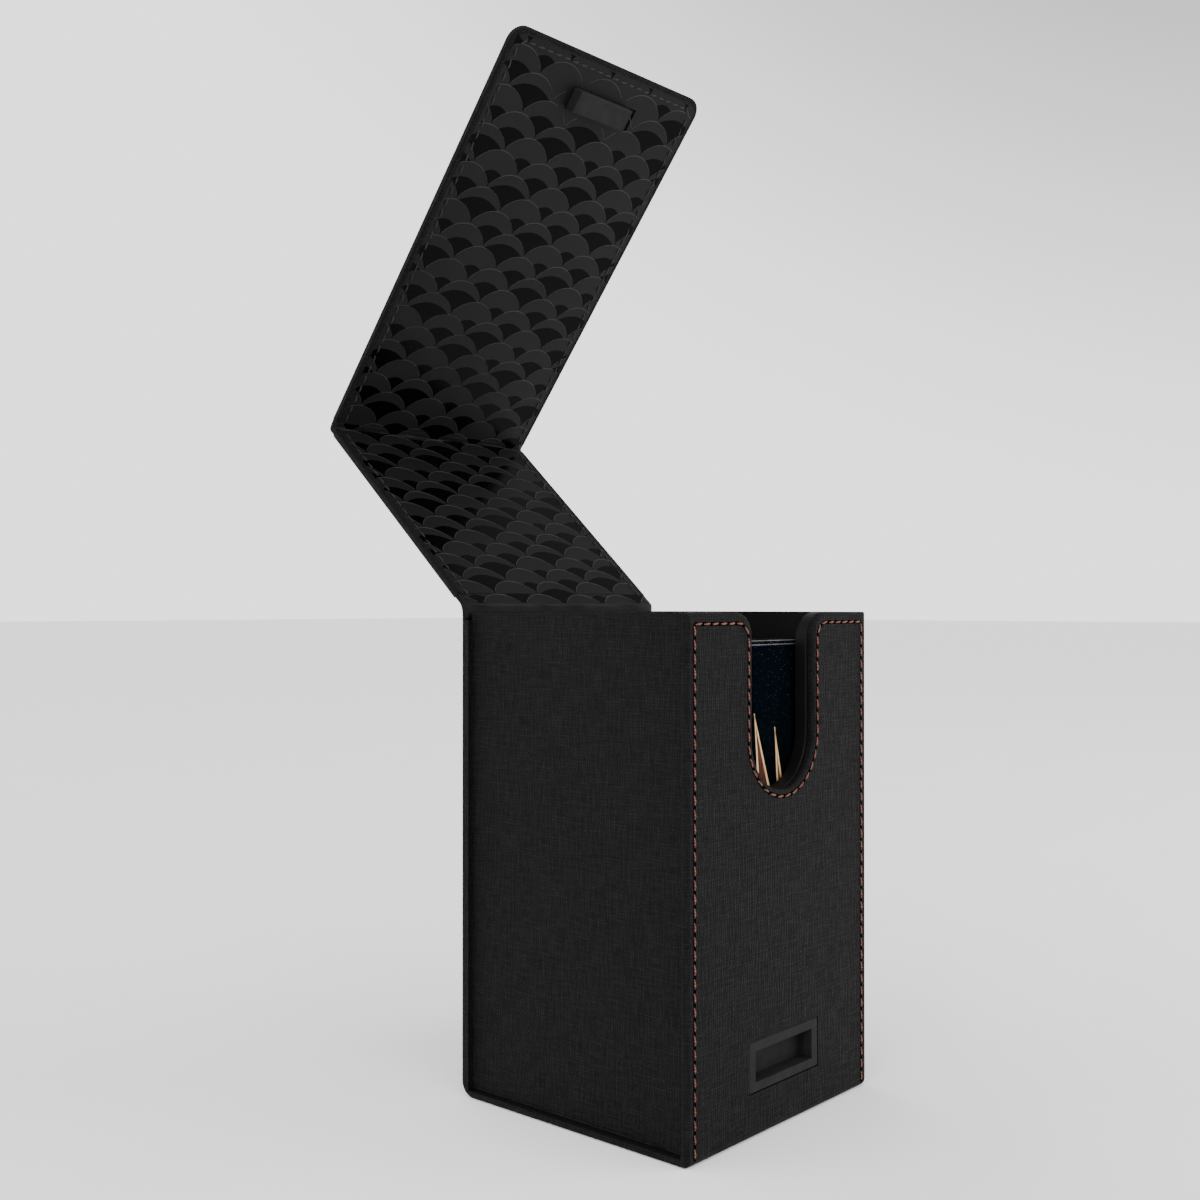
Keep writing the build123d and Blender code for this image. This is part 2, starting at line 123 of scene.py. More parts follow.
class Shader:
    """Builds one node material, with short calls for the arithmetic."""

    def __init__(self, name):
        self.material = bpy.data.materials.new(name)
        self.material.use_nodes = True
        self.tree = self.material.node_tree
        self.tree.nodes.clear()
        out = self.tree.nodes.new("ShaderNodeOutputMaterial")
        self.surface = self.tree.nodes.new("ShaderNodeBsdfPrincipled")
        self.tree.links.new(self.surface.outputs[0], out.inputs["Surface"])

    def put(self, value, socket):
        if isinstance(value, bpy.types.NodeSocket):
            self.tree.links.new(value, socket)
        else:
            socket.default_value = value

    def node(self, kind, inputs, **settings):
        made = self.tree.nodes.new(kind)
        for key, value in settings.items():
            setattr(made, key, value)
        for key, value in inputs.items():
            self.put(value, made.inputs[key])
        return made

    def math(self, operation, *values):
        return self.node("ShaderNodeMath", dict(enumerate(values)), operation=operation).outputs[0]

    def mix(self, share, low, high):
        """low where share is 0, high where it is 1."""
        span = self.math("SUBTRACT", high, low)
        return self.math("ADD", low, self.math("MULTIPLY", share, span))

    def weigh(self, *pairs):
        """The sum of each value times its weight."""
        total, *others = (self.math("MULTIPLY", value, weight) for value, weight in pairs)
        for other in others:
            total = self.math("ADD", total, other)
        return total

    def noise(self, vector, scale, detail=2.0, roughness=0.5):
        inputs = {"Vector": vector, "Scale": scale, "Detail": detail, "Roughness": roughness}
        return self.node("ShaderNodeTexNoise", inputs).outputs["Fac"]

    def vector(self, x, y, z):
        return self.node("ShaderNodeCombineXYZ", {"X": x, "Y": y, "Z": z}).outputs[0]

    def stretch(self, vector, factors):
        made = self.node("ShaderNodeVectorMath", {0: vector, 1: factors}, operation="MULTIPLY")
        return made.outputs[0]

    def ramp(self, share, *stops):
        made = self.node("ShaderNodeValToRGB", {"Fac": share})
        ramp = made.color_ramp
        while len(ramp.elements) < len(stops):
            ramp.elements.new(0.5)
        for element, (place, colour) in zip(ramp.elements, stops):
            element.position = place
            element.color = (*colour, 1)
        return made.outputs["Color"]

    def bump(self, height, strength, depth):
        """Surface direction for a relief of the given depth in millimetres."""
        inputs = {"Height": height, "Strength": strength, "Distance": depth * MM}
        return self.node("ShaderNodeBump", inputs).outputs[0]

    def place(self, tilt=0.0):
        """Position in millimetres and outward direction, turned level for a tilted panel."""
        source = self.tree.nodes.new("ShaderNodeTexCoord")
        position, normal = (
            self.node(
                "ShaderNodeVectorRotate",
                {"Vector": source.outputs[output], "Angle": -tilt},
                rotation_type="X_AXIS",
            ).outputs[0]
            for output in ("Object", "Normal")
        )
        inputs = {0: position, "Scale": 1 / MM}
        scaled = self.node("ShaderNodeVectorMath", inputs, operation="SCALE")
        return scaled.outputs[0], normal

    def split(self, vector):
        made = self.node("ShaderNodeSeparateXYZ", {"Vector": vector})
        return made.outputs["X"], made.outputs["Y"], made.outputs["Z"]

    def surface_plane(self, tilt):
        """Two coordinates that lie in the surface, whichever way it faces, and the position."""
        faces_squarely = 0.7
        position, normal = self.place(tilt)
        x, y, z = self.split(position)
        nx, _, nz = self.split(normal)
        faces_side = self.math("GREATER_THAN", self.math("ABSOLUTE", nx), faces_squarely)
        faces_up = self.math("GREATER_THAN", self.math("ABSOLUTE", nz), faces_squarely)
        return self.mix(faces_side, x, y), self.mix(faces_up, z, y), position

    def finish(self, **inputs):
        for key, value in inputs.items():
            self.put(value, self.surface.inputs[key.replace("_", " ")])
        return self.material


WEAVE_PITCH = 0.78
WEAVE_DRIFT = 0.9
WEAVE_DEPTH = 0.3
RIDGE_POWER = 0.7
SLUB_ACROSS, SLUB_ALONG = 1.4, 0.16
SLUB_FLOOR, SLUB_GAIN, SLUB_LEAST = 0.34, 3.4, 0.05
CROSSING_SHARE = 0.35


def leatherette(name, tilt=0.0):
    """Black leatherette, pressed linen weave of uneven threads: painted shade in the pits, painted highlight on
    the tops.
    """
    s = Shader(name)
    a, b, position = s.surface_plane(tilt)
    flat = s.vector(a, b, 0.0)
    wander = s.noise(flat, scale=0.22)
    waves, threads = [], []
    for along, across in ((b, a), (a, b)):
        drift = s.math("SUBTRACT", s.noise(flat, scale=0.35, detail=1.0), 0.5)
        drift = s.math("MULTIPLY", drift, WEAVE_DRIFT)
        turn = s.math("MULTIPLY", s.math("ADD", across, drift), math.pi / WEAVE_PITCH)
        wave = s.math("SINE", turn)
        ridge = s.math("POWER", s.math("ABSOLUTE", wave), RIDGE_POWER)
        across_slub = s.math("MULTIPLY", across, SLUB_ACROSS)
        along_slub = s.math("MULTIPLY", along, SLUB_ALONG)
        slub = s.noise(s.vector(across_slub, along_slub, 3.0), scale=1.0)
        strength = s.math("MULTIPLY", s.math("SUBTRACT", slub, SLUB_FLOOR), SLUB_GAIN)
        waves.append(wave)
        threads.append(s.math("MULTIPLY", ridge, s.math("MAXIMUM", strength, SLUB_LEAST)))
    crossing = s.math("MULTIPLY", s.math("MULTIPLY", *waves), CROSSING_SHARE)
    weave = s.mix(s.math("ADD", crossing, 0.5), *threads)
    grain = s.noise(position, scale=5.5, detail=3.0, roughness=0.6)
    height = s.math("ADD", weave, s.math("MULTIPLY", grain, 0.25))
    cloud = s.noise(position, scale=0.035, detail=3.0)
    # The weave's height darkens the colour in the pits and lightens it on the thread tops: painted shade and
    # painted highlight. The noises add random tone.
    shade = s.weigh((height, 0.55), (wander, 0.09), (cloud, 0.14))
    return s.finish(
        Base_Color=s.ramp(shade, (0.12, grey(0.0004, 1.03)), (0.95, grey(0.0092, 1.02))),
        Roughness=s.math("SUBTRACT", 0.72, s.math("MULTIPLY", height, 0.16)),
        Normal=s.bump(height, strength=1.0, depth=WEAVE_DEPTH),
        Specular_IOR_Level=0.08,
    )


def smooth_lining(name, tone=1.0, shine=0.1):
    """Smooth coated lining with a faint pebble grain."""
    s = Shader(name)
    position, _ = s.place()
    pebble = s.noise(position, scale=3.2, detail=3.0, roughness=0.55)
    cloud = s.noise(position, scale=0.06, detail=3.0)
    shade = s.weigh((pebble, 0.4), (cloud, 0.6))
    return s.finish(
        Base_Color=s.ramp(shade, (0.3, grey(0.0016 * tone)), (0.7, grey(0.0042 * tone))),
        Roughness=s.mix(pebble, 0.42, 0.6),
        Normal=s.bump(pebble, strength=0.35, depth=0.05),
        Specular_IOR_Level=shine,
    )


def charcoal_lining():
    """Matt charcoal ground of the patterned lining."""
    s = Shader("charcoal_lining")
    position, _ = s.place()
    grain = s.noise(position, scale=6.0, roughness=0.6)
    cloud = s.noise(position, scale=0.03)
    shade = s.weigh((grain, 0.35), (cloud, 0.65))
    return s.finish(
        Base_Color=s.ramp(shade, (0.3, (0.0030, 0.0030, 0.0031)), (0.7, (0.0056, 0.0056, 0.0057))),
        Roughness=s.mix(grain, 0.46, 0.58),
        Normal=s.bump(grain, strength=0.25, depth=0.03),
        Specular_IOR_Level=0.1,
    )


def gloss_foil():
    """Black gloss of the printed shapes, with a trace of orange peel."""
    s = Shader("gloss_foil")
    position, _ = s.place()
    peel = s.noise(position, scale=1.6)
    return s.finish(
        Base_Color=s.ramp(peel, (0.3, grey(0.0003)), (0.8, (0.0007, 0.0007, 0.0008))),
        Roughness=s.mix(peel, 0.16, 0.26),
        Normal=s.bump(peel, strength=0.12, depth=0.03),
        Specular_IOR_Level=0.035,
    )


def highlit_embossed_line():
    s = Shader("highlit_embossed_line")
    position, _ = s.place()
    grain = s.noise(position, scale=4.0)
    return s.finish(
        # Lighter than the charcoal ground: a painted highlight along the raised scallop line.
        Base_Color=s.ramp(grain, (0.3, grey(0.008)), (0.8, grey(0.014))),
        Roughness=s.mix(grain, 0.28, 0.4),
        Specular_IOR_Level=0.2,
    )


def thread(name, dark, middle, light):
    """Twisted thread: painted highlight along the crown of each strand, painted shade between strands."""
    s = Shader(name)
    position, _ = s.place()
    x, y, z = s.split(position)
    turn = s.math("MULTIPLY", s.math("ADD", s.math("ADD", x, z), y), 9.0)
    ply = s.math("SINE", turn)
    fuzz = s.noise(position, scale=7.0, detail=3.0, roughness=0.65)
    along = s.noise(position, scale=0.5)
    # The twist stripes paint a highlight on each strand's crown and shade between strands. The fuzz and the along
    # noise add random fibre tone.
    shade = s.weigh((ply, 0.16), (fuzz, 0.7), (along, 0.25))
    return s.finish(
        Base_Color=s.ramp(shade, (0.2, dark), (0.5, middle), (0.78, light)),
        Roughness=0.62,
        Normal=s.bump(shade, strength=0.5, depth=0.06),
        Specular_IOR_Level=0.2,
        Sheen_Weight=0.05,
        Sheen_Roughness=0.5,
    )


def moulded_plastic(name, tone):
    s = Shader(name)
    position, _ = s.place()
    spark = s.noise(position, scale=9.0, roughness=0.6)
    cloud = s.noise(position, scale=0.3)
    shade = s.weigh((spark, 0.4), (cloud, 0.6))
    dark, light = grey(0.0035 * tone, 1.03), grey(0.0065 * tone, 1.03)
    return s.finish(
        Base_Color=s.ramp(shade, (0.3, dark), (0.7, light)),
        Roughness=s.mix(spark, 0.6, 0.78),
        Normal=s.bump(spark, strength=0.3, depth=0.035),
        Specular_IOR_Level=0.09,
    )


def felt():
    s = Shader("felt")
    position, _ = s.place()
    fuzz = s.noise(position, scale=3.5, detail=5.0, roughness=0.75)
    fibre = s.noise(s.stretch(position, (1.0, 6.0, 1.0)), scale=0.8, detail=4.0, roughness=0.7)
    shade = s.math("MULTIPLY", s.math("ADD", fuzz, fibre), 0.5)
    return s.finish(
        Base_Color=s.ramp(shade, (0.3, (0.004, 0.004, 0.0045)), (0.7, (0.015, 0.015, 0.017))),
        Roughness=0.95,
        Normal=s.bump(shade, strength=0.8, depth=0.25),
        Specular_IOR_Level=0.15,
        Sheen_Weight=0.04,
        Sheen_Roughness=0.6,
    )


def black_board():
    """Board dyed black right through, with fibre flecks."""
    s = Shader("black_board")
    position, _ = s.place()
    fleck = s.noise(position, scale=2.5, detail=4.0, roughness=0.7)
    dark, light = (0.0025, 0.0024, 0.0023), (0.009, 0.0088, 0.0085)
    return s.finish(
        Base_Color=s.ramp(fleck, (0.3, dark), (0.75, light)),
        Roughness=0.9,
        Normal=s.bump(fleck, strength=0.4, depth=0.08),
        Specular_IOR_Level=0.05,
    )


def nickel():
    s = Shader("nickel")
    position, _ = s.place()
    brush = s.noise(s.stretch(position, (0.4, 9.0, 9.0)), scale=1.0, detail=3.0)
    return s.finish(
        Base_Color=s.ramp(brush, (0.3, (0.42, 0.42, 0.43)), (0.7, (0.62, 0.62, 0.63))),
        Metallic=1.0,
        Roughness=s.mix(brush, 0.25, 0.42),
        Normal=s.bump(brush, strength=0.15, depth=0.02),
    )


def card_face():
    """Printed card: near-black navy that turns bluer towards the top, with a soft paper grain."""
    s = Shader("card_face")
    position, _ = s.place()
    _, _, z = s.split(position)
    paper = s.noise(position, scale=5.0, detail=3.0)
    cloud = s.noise(position, scale=0.12, detail=3.0)
    rise = s.math("DIVIDE", s.math("SUBTRACT", z, deck_low.z), deck_high.z - deck_low.z)
    shade = s.weigh((rise, 0.55), (cloud, 0.45))
    foot, middle = (0.0002, 0.0021, 0.0034), (0.0002, 0.0019, 0.0036)
    head = (0.0004, 0.0017, 0.0056)
    return s.finish(
        Base_Color=s.ramp(shade, (0.2, foot), (0.62, middle), (0.9, head)),
        Roughness=s.mix(paper, 0.4, 0.55),
        Normal=s.bump(paper, strength=0.1, depth=0.02),
        Specular_IOR_Level=0.0,
    )


def print_ink(name, root, middle, tip):
    """Printed ink that runs from one tint to another in long upright streaks."""
    s = Shader(name)
    position, _ = s.place()
    streak = s.noise(s.stretch(position, (6.0, 1.0, 0.25)), scale=0.9)
    return s.finish(
        Base_Color=s.ramp(streak, (0.3, root), (0.5, middle), (0.7, tip)),
        Roughness=s.mix(streak, 0.4, 0.55),
        Normal=s.bump(streak, strength=0.1, depth=0.01),
        Specular_IOR_Level=0.1,
    )


def sleeve_film():
    """Film so clear that only its edges and scuffs show."""
    s = Shader("sleeve_film")
    position, _ = s.place()
    scuff = s.noise(position, scale=0.8, detail=3.0)
    return s.finish(
        Base_Color=(0.80, 0.84, 0.88, 1),
        Roughness=s.mix(scuff, 0.15, 0.3),
        Specular_IOR_Level=0.1,
        Alpha=s.mix(scuff, 0.0008, 0.002),
    )


def sleeve_edges(name, tone):
    """Sleeved cards seen edge on, clouded by the film."""
    s = Shader(name)
    position, _ = s.place()
    haze = s.noise(s.stretch(position, (0.2, 1.2, 0.2)), scale=1.0, detail=3.0)
    light = Vector((0.9, 0.95, 1.0)) * tone
    stops = [(0.3, tuple(light * 0.3)), (0.55, tuple(light * 0.65)), (0.8, tuple(light))]
    return s.finish(
        Base_Color=s.ramp(haze, *stops),
        Roughness=0.8,
        Specular_IOR_Level=0.0,
        Normal=s.bump(haze, strength=0.2, depth=0.05),
    )


LEATHER = leatherette("leatherette")
LID_LEATHER = leatherette("lid_leatherette", LID_TILT)
FLAP_LEATHER = leatherette("flap_leatherette", FLAP_TILT)
# Darkened lining without shine, laid under the seams as painted shade for their pressed grooves.
SEAM_SHADE = smooth_lining("seam_painted_shade", tone=0.3, shine=0.0)
SMOOTH = smooth_lining("smooth_lining")
CHARCOAL = charcoal_lining()
FOIL = gloss_foil()
EMBOSS_HIGHLIGHT = highlit_embossed_line()
COPPER_THREAD = thread(
    "copper_thread", (0.030, 0.007, 0.004), (0.115, 0.034, 0.020), (0.30, 0.130, 0.085)
)
DARK_THREAD = thread("dark_thread", grey(0.001), grey(0.005), grey(0.022))
PLASTIC = moulded_plastic("catch_plastic", tone=2.3)
TRAY_PLASTIC = moulded_plastic("tray_plastic", tone=0.9)
FELT = felt()
BOARD = black_board()
NICKEL = nickel()
CARD = card_face()
GOLD = print_ink("gold_ink", (0.34, 0.14, 0.04), (0.62, 0.42, 0.19), (0.72, 0.60, 0.44))
RUST = print_ink("rust_ink", (0.004, 0.004, 0.006), (0.035, 0.006, 0.004), (0.16, 0.035, 0.012))
FILM = sleeve_film()
EDGES = [
    sleeve_edges("dark_sleeve_edges", tone=0.004),
    sleeve_edges("grey_sleeve_edges", tone=0.02),
    sleeve_edges("pale_sleeve_edges", tone=0.22),
]
DARK_EDGES, GREY_EDGES, PALE_EDGES = range(3)

SLOT_MATERIALS = {
    "leatherette": LEATHER,
    "board": BOARD,
    "smooth_lining": SMOOTH,
    "patterned_lining": CHARCOAL,
    "thread": COPPER_THREAD,
    "dark_thread": DARK_THREAD,
    "catch_plastic": PLASTIC,
    "tray_plastic": TRAY_PLASTIC,
    "felt": FELT,
    "plate_steel": NICKEL,
    "magnet": NICKEL,
    "cards": EDGES[DARK_EDGES],
    "printed_card": CARD,
    "sleeve": FILM,
}
NODE_MATERIALS = {
    "lid_cover": LID_LEATHER,
    "fold_hinge_strip": LID_LEATHER,
    "flap_cover": FLAP_LEATHER,
    "tray_lid_cover": FELT,
}

for part in frame["record"]["subparts"]:
    name = part["node"]
    mesh = frame["nodes"][name].data
    mesh.materials.clear()
    mesh.materials.append(NODE_MATERIALS.get(name, SLOT_MATERIALS[part["material_slot"]]))


# ---------------------------------------------------------------- mesh helpers


def make_mesh(name, points, faces, materials, body, smooth=True, marks=None):
    """A mesh from points in millimetres, riding on a body; marks gives each face its material."""
    mesh = bpy.data.meshes.new(name)
    mesh.from_pydata([Vector(p) * MM for p in points], [], faces)
    for material in materials:
        mesh.materials.append(material)
    for number, polygon in enumerate(mesh.polygons):
        polygon.use_smooth = smooth
        if marks:
            polygon.material_index = marks[number]
    form = bmesh.new()
    form.from_mesh(mesh)
    bmesh.ops.recalc_face_normals(form, faces=form.faces)
    form.to_mesh(mesh)
    form.free()
    mesh.update()
    obj = bpy.data.objects.new(name, mesh)
    bpy.context.scene.collection.objects.link(obj)
    if body:
        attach(obj, body)
    return obj


def add_tube(points, faces, rings):
    """A closed tube through a row of closed sections, capped at both ends."""
    first, count = len(points), len(rings[0])
    for ring in rings:
        points += ring
    for step in range(len(rings) - 1):
        for k in range(count):
            a, b = first + step * count + k, first + step * count + (k + 1) % count
            faces.append((a, b, b + count, a + count))
    last = first + (len(rings) - 1) * count
    faces.append(tuple(range(first, first + count)))
    faces.append(tuple(range(last + count - 1, last - 1, -1)))


def add_patch(points, faces, surface, outline, lift):
    """A thin closed plate of the given outline, rooted just under its surface."""
    root = -0.02
    add_tube(points, faces, [[surface.at(u, v, off) for u, v in outline] for off in (lift, root)])


class Surface:
    """A flat working surface: (u, v) across and along it, with an outward lift."""

    def __init__(self, origin, up):
        self.origin, self.right, self.up = Vector(origin), Vector((1, 0, 0)), Vector(up)
        self.out = self.right.cross(self.up)

    def at(self, u, v, lift=0.0):
        return self.origin + self.right * u + self.up * v + self.out * lift


FRONT = Surface((0, FACE, 0), UP)
LID_INSIDE = Surface(LID.at(0), LID.along)
FLAP_INSIDE = Surface(FLAP.at(0), FLAP.along)


# ---------------------------------------------------------------- stitching

STITCH_STEPS = 12
STITCH_SIDES = 8
STITCH_SWAY = 2.5  # degrees either way
STITCH_STRETCH = (0.96, 1.03)
STITCH_ARCH = 2.6  # a higher power makes a flatter top and steeper ends
STITCH_SINK = 0.42  # share of the arch's height that is under the surface
STITCH_TAPER = 0.45
STITCH_FLATNESS = 0.62
PLY_DEPTH, PLY_TWIST = 0.13, 5.0
rng = random.Random(7)


def stitch(points, faces, surface, place, length, width, height):
    """One arched, two-ply stitch whose ends dive into the leather."""
    u, v, heading = place
    heading += math.radians(rng.uniform(-STITCH_SWAY, STITCH_SWAY))
    length *= rng.uniform(*STITCH_STRETCH)
    along = surface.right * math.cos(heading) + surface.up * math.sin(heading)
    across = surface.out.cross(along)
    middle = surface.at(u, v)
    rings = []
    for step in range(STITCH_STEPS + 1):
        t = -1 + 2 * step / STITCH_STEPS
        lift = height * (1 - abs(t) ** STITCH_ARCH) - STITCH_SINK * height
        thick = width / 2 * (1 - STITCH_TAPER * t * t)
        centre = middle + along * (t * length / 2) + surface.out * lift
        ring = []
        for side in range(STITCH_SIDES):
            angle = 2 * math.pi * side / STITCH_SIDES
            reach = thick * (1 + PLY_DEPTH * math.cos(2 * angle - PLY_TWIST * t))
            sideways = across * (math.cos(angle) * reach)
            outward = surface.out * (math.sin(angle) * reach * STITCH_FLATNESS)
            ring.append(centre + sideways + outward)
        rings.append(ring)
    add_tube(points, faces, rings)


def resample(path, pitch):
    """Evenly spaced (u, v, heading) along a polyline."""
    lengths = [math.dist(a, b) for a, b in zip(path, path[1:])]
    total = sum(lengths)
    count = max(1, round(total / pitch))
    places = []
    for number in range(count):
        target = (number + 0.5) / count * total
        for (a, b), run in zip(zip(path, path[1:]), lengths):
            if target <= run:
                break
            target -= run
        share = target / run
        heading = math.atan2(b[1] - a[1], b[0] - a[0])
        places.append((a[0] + share * (b[0] - a[0]), a[1] + share * (b[1] - a[1]), heading))
    return places


def arc(centre, radius, start, end, steps=14):
    """Points along an arc, angles in degrees."""
    angles = [math.radians(start + (end - start) * i / steps) for i in range(steps + 1)]
    return [(centre[0] + radius * math.cos(a), centre[1] + radius * math.sin(a)) for a in angles]


def sew(name, surface, runs, body, node, slot, material, pitch, slant, **size):
    """A row of stitches along each run, each turned by slant degrees."""
    points, faces = [], []
    for run in runs:
        for u, v, heading in resample(run, pitch):
            stitch(points, faces, surface, (u, v, heading + math.radians(slant)), **size)
    made = make_mesh(name, points, faces, [material], body)
    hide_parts(node)


SEAM_SHADE_PROFILE = ((-0.5, 0.01), (-0.36, 1.0), (0.0, 0.35), (0.36, 1.0), (0.5, 0.01))


def seam_shade_band(name, surface, runs, body, material, width, lift, pitch=0.8):
    """A narrow dark band under a seam, painted shade for its pressed groove: low at its edges, dished along its
    middle.
    """
    points, faces = [], []
    for run in runs:
        fine = resample(run, pitch)
        ends = [(*run[0], fine[0][2]), (*run[-1], fine[-1][2])]
        rings = []
        for u, v, heading in ends[:1] + fine + ends[1:]:
            ring = []
            for side, rise in SEAM_SHADE_PROFILE:
                du, dv = -math.sin(heading) * side * width, math.cos(heading) * side * width
                ring.append(surface.at(u + du, v + dv, rise * lift))
            rings.append(ring)
        add_tube(points, faces, rings)
    make_mesh(name, points, faces, [material], body)


FRONT_THREAD = dict(pitch=3.33, length=2.75, width=0.52, height=0.26, slant=7)
LINING_THREAD = dict(pitch=3.4, length=2.6, width=0.55, height=0.2, slant=6)
SEAM_FOOT = 1.6
SIDE_SEAM = HALF - 2.7
TOP_SEAM = TOP - 2.75
NOTCH_SEAM = NOTCH_HALF + 1.95
SHOULDER = 4.4
SHOULDER_X = NOTCH_SEAM + SHOULDER
SHOULDER_Z = TOP_SEAM - SHOULDER

notch_path = (
    arc((-SHOULDER_X, SHOULDER_Z), SHOULDER, 90, 0)
    + arc((0, NOTCH_LOW + NOTCH_HALF), NOTCH_SEAM, 180, 360, 40)
    + arc((SHOULDER_X, SHOULDER_Z), SHOULDER, 180, 90)
)
front_runs = [
    [(-SIDE_SEAM, SEAM_FOOT), (-SIDE_SEAM, TOP_SEAM)],
    [(-SIDE_SEAM, TOP_SEAM)] + notch_path + [(SIDE_SEAM, TOP_SEAM)],
    [(SIDE_SEAM, TOP_SEAM), (SIDE_SEAM, SEAM_FOOT)],
]
sew(
    "front_stitches", FRONT, front_runs, "tub", "front_stitching", "thread", COPPER_THREAD,
    **FRONT_THREAD,
)
# Dark band under the front stitching: painted shade in the pressed seam groove.
seam_shade_band("front_seam_shade", FRONT, front_runs, "tub", SEAM_SHADE, width=0.95, lift=0.045)

LINING_SEAM = lid_half - 3.4
LINING_SEAM_START = 3.0
LINING_SEAM_ROUND = 3
lid_seam_end = LID_REACH - 3.2
flap_seam_end = FLAP_END - 3.4
lid_runs = [
    [(side * LINING_SEAM, LINING_SEAM_START), (side * LINING_SEAM, lid_seam_end)]
    for side in (-1, 1)
]
round_x, round_v = LINING_SEAM - LINING_SEAM_ROUND, flap_seam_end - LINING_SEAM_ROUND
flap_runs = [
    [(-LINING_SEAM, LINING_SEAM_START)]
    + arc((-round_x, round_v), LINING_SEAM_ROUND, 180, 90)
    + arc((round_x, round_v), LINING_SEAM_ROUND, 90, 0)
    + [(LINING_SEAM, LINING_SEAM_START)]
]
sew(
    "lid_stitches", LID_INSIDE, lid_runs, "lid", "lid_stitching", "dark_thread", DARK_THREAD,
    **LINING_THREAD,
)
sew(
    "flap_stitches", FLAP_INSIDE, flap_runs, "flap", "flap_stitching", "dark_thread", DARK_THREAD,
    **LINING_THREAD,
)


# ---------------------------------------------------------------- printed lining

SCALE_WIDTH = 17.0
SCALE_RISE = 5.7
SCALE_RADIUS = 9.6
VALLEY_RISE = math.sqrt(SCALE_RADIUS**2 - (SCALE_WIDTH / 2) ** 2)
SHAPE_SIZES = (7.7, 5.3, 3.4)
SHAPE_CROWN = 0.33
SHAPE_LIFT = 0.03
SHAPE_STEPS = 12
CROWN_STEPS = 16
LEAST_SHAPE = 1.8
SCALE_COLUMNS = range(-4, 5)
LINE_SECTION = ((-0.13, -0.01), (0.0, 0.05), (0.13, -0.01))
LINE_STEP = 3  # degrees
LINE_SHORT = 4  # degrees left off each end of a line
ROWS_BELOW, ROWS_ABOVE = 12, 4  # how far past the printed length the rows reach
LINING_HALF = lid_half - 1.7


def in_hole(u, v, hole):
    return hole is not None and hole[0] < u < hole[1] and hole[2] < v < hole[3]


def scale_print(name, surface, v_from, v_to, body, hole=None, crease=None):
    """Overlapping scallops: a raised line along each top, and a gloss shape in each valley."""
    shape_points, shape_faces, line_points, line_faces = [], [], [], []
    first_row = math.floor((v_from - ROWS_BELOW) / SCALE_RISE)
    end_row = math.ceil((v_to + ROWS_ABOVE) / SCALE_RISE)

    def clear(u, v):
        return abs(u) <= LINING_HALF and v_from < v < v_to and not in_hole(u, v, hole)

    for row in range(first_row, end_row):
        for column in SCALE_COLUMNS:
            u0, v0 = (column + 0.5 * (row % 2)) * SCALE_WIDTH, row * SCALE_RISE
            outline = [
                (min(max(u, -LINING_HALF), LINING_HALF), min(max(v, v_from), v_to))
                for u, v in gloss_shape(u0, v0 - SCALE_RISE, SHAPE_SIZES[(row + 2 * column) % 3])
            ]
            wide, tall = (max(side) - min(side) for side in zip(*outline))
            blocked = any(in_hole(u, v, hole) for u, v in outline)
            if wide > LEAST_SHAPE and tall > LEAST_SHAPE and not blocked:
                add_patch(shape_points, shape_faces, surface, outline, SHAPE_LIFT)
            add_line(line_points, line_faces, surface, (u0, v0), clear)
    foil = make_mesh(
        name + "_foil", shape_points, shape_faces, [FOIL], body, smooth=False
    )
    line = make_mesh(
        name + "_lines", line_points, line_faces, [EMBOSS_HIGHLIGHT], body, smooth=False
    )
    if crease:
        for piece in (foil, line):
            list(crease[0])
            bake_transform(piece)


def gloss_shape(u0, v_front, size):
    """Outline of a crowned shape that stands in the valley between two scallops."""
    right_centre = u0 + SCALE_WIDTH / 2
    right = []
    for i in range(SHAPE_STEPS + 1):
        u = u0 + size * i / SHAPE_STEPS
        right.append((u, v_front + math.sqrt(max(SCALE_RADIUS**2 - (u - right_centre) ** 2, 0))))
    left = [(2 * u0 - u, v) for u, v in right]
    tip_u, tip_v = right[-1]
    top = []
    for i in range(1, CROWN_STEPS):
        t = i / CROWN_STEPS
        top.append((tip_u - 2 * size * t, tip_v + size * SHAPE_CROWN * (1 - (2 * t - 1) ** 2)))
    return right + top + left[:0:-1]


def add_line(points, faces, surface, centre, clear):
    """The raised outline of one scallop, where no nearer scallop hides it."""
    low = int(math.degrees(math.asin(VALLEY_RISE / SCALE_RADIUS))) + LINE_SHORT
    run = []
    for angle in range(low, 180 - low + 1, LINE_STEP):
        a = math.radians(angle)
        u, v = centre[0] + SCALE_RADIUS * math.cos(a), centre[1] + SCALE_RADIUS * math.sin(a)
        run.append((u, v, a) if clear(u, v) else None)
    rings = []
    for place in run + [None]:
        if place:
            u, v, a = place
            rings.append([
                surface.at(u + out * math.cos(a), v + out * math.sin(a), lift)
                for out, lift in LINE_SECTION
            ])
        else:
            if len(rings) > 1:
                add_tube(points, faces, rings)
            rings = []


plug_ends = [FLAP.reach(point) for point in vertices_mm("catch_plug")]
plug_s = FLAP.reach((plug_low + plug_high) / 2)
CLEAR_OF_PLUG = 4.6
slot_hole = (-13.5, 13.5, plug_s - CLEAR_OF_PLUG, plug_s + CLEAR_OF_PLUG)
SLOT_LEFT = -11.3
SLOT_RIGHT = 15.2
SLOT_GAP = 0.45
SHADOW_SHEET_GAP = 0.05
SHADOW_SHEET_LIFT = 0.02


